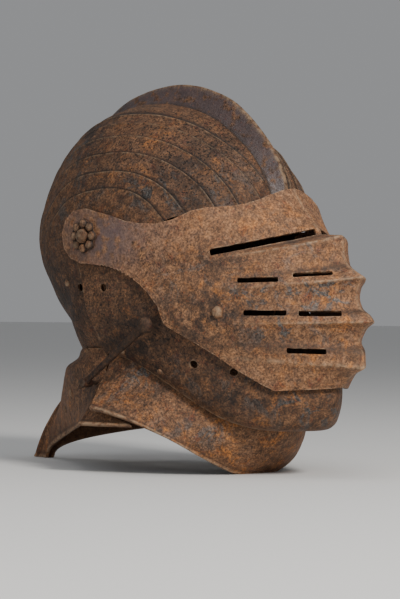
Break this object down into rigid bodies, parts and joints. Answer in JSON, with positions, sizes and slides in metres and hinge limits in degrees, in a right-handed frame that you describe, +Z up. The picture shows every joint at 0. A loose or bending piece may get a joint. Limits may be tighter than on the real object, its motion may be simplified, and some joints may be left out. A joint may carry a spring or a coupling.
{
  "type": "close helmet",
  "caption": "Rusted fluted close helmet with a raised comb, a bellows visor, a bevor and flared neck plates.",
  "frame": {"origin": "middle of the box round the helmet, on the surface it stands on", "axes": "+Z up, the face towards -Y, the helmet's own right towards -X"},
  "size_m": [0.2174, 0.355, 0.3017],
  "materials": {
    "rusted_plate": "matte, heavily pitted rust over hammered steel plate",
    "rosette_steel": "matte rusted steel, worn bright on the petals",
    "rivet_steel": "matte rusted steel rivets",
    "latch_steel": "dark smooth rusted steel"
  },
  "bodies": {
    "skull_body": {"skull": "rusted_plate", "gorget_nape": "rusted_plate", "latch_rivet": "rivet_steel", "skull_rivet_right": "rivet_steel", "neck_rivet_side_right": "rivet_steel", "neck_rivet_rear_right": "rivet_steel", "nape_rivet_upper_right": "rivet_steel", "nape_rivet_lower_right": "rivet_steel", "pivot_rivet_right": "rivet_steel", "skull_rivet_left": "rivet_steel", "neck_rivet_side_left": "rivet_steel", "neck_rivet_rear_left": "rivet_steel", "nape_rivet_upper_left": "rivet_steel", "nape_rivet_lower_left": "rivet_steel", "pivot_rivet_left": "rivet_steel"},
    "bevor_body": {"bevor": "rusted_plate", "gorget_front": "rusted_plate", "collar_rivet_rear_right": "rivet_steel", "collar_rivet_front_right": "rivet_steel", "collar_rivet_rear_left": "rivet_steel", "collar_rivet_front_left": "rivet_steel"},
    "visor_body": {"visor": "rusted_plate", "visor_stud_right": "rivet_steel", "rosette_right": "rosette_steel", "rosette_left": "rosette_steel"},
    "latch_body": {"latch_arm": "latch_steel"}
  },
  "joints": [
    {"name": "bevor_pivot", "type": "hinge", "parent": "skull_body", "child": "bevor_body", "pos_m": [0, 0.01835, 0.1785], "axis": [-1, 0, 0], "range_deg": [0, 40]},
    {"name": "visor_pivot", "type": "hinge", "parent": "bevor_body", "child": "visor_body", "pos_m": [0, 0.01835, 0.1785], "axis": [-1, 0, 0], "range_deg": [0, 50]},
    {"name": "latch_swing", "type": "hinge", "parent": "skull_body", "child": "latch_body", "pos_m": [-0.0988, 0.01985, 0.0677], "axis": [1, 0, 0], "range_deg": [0, 20]}
  ]
}
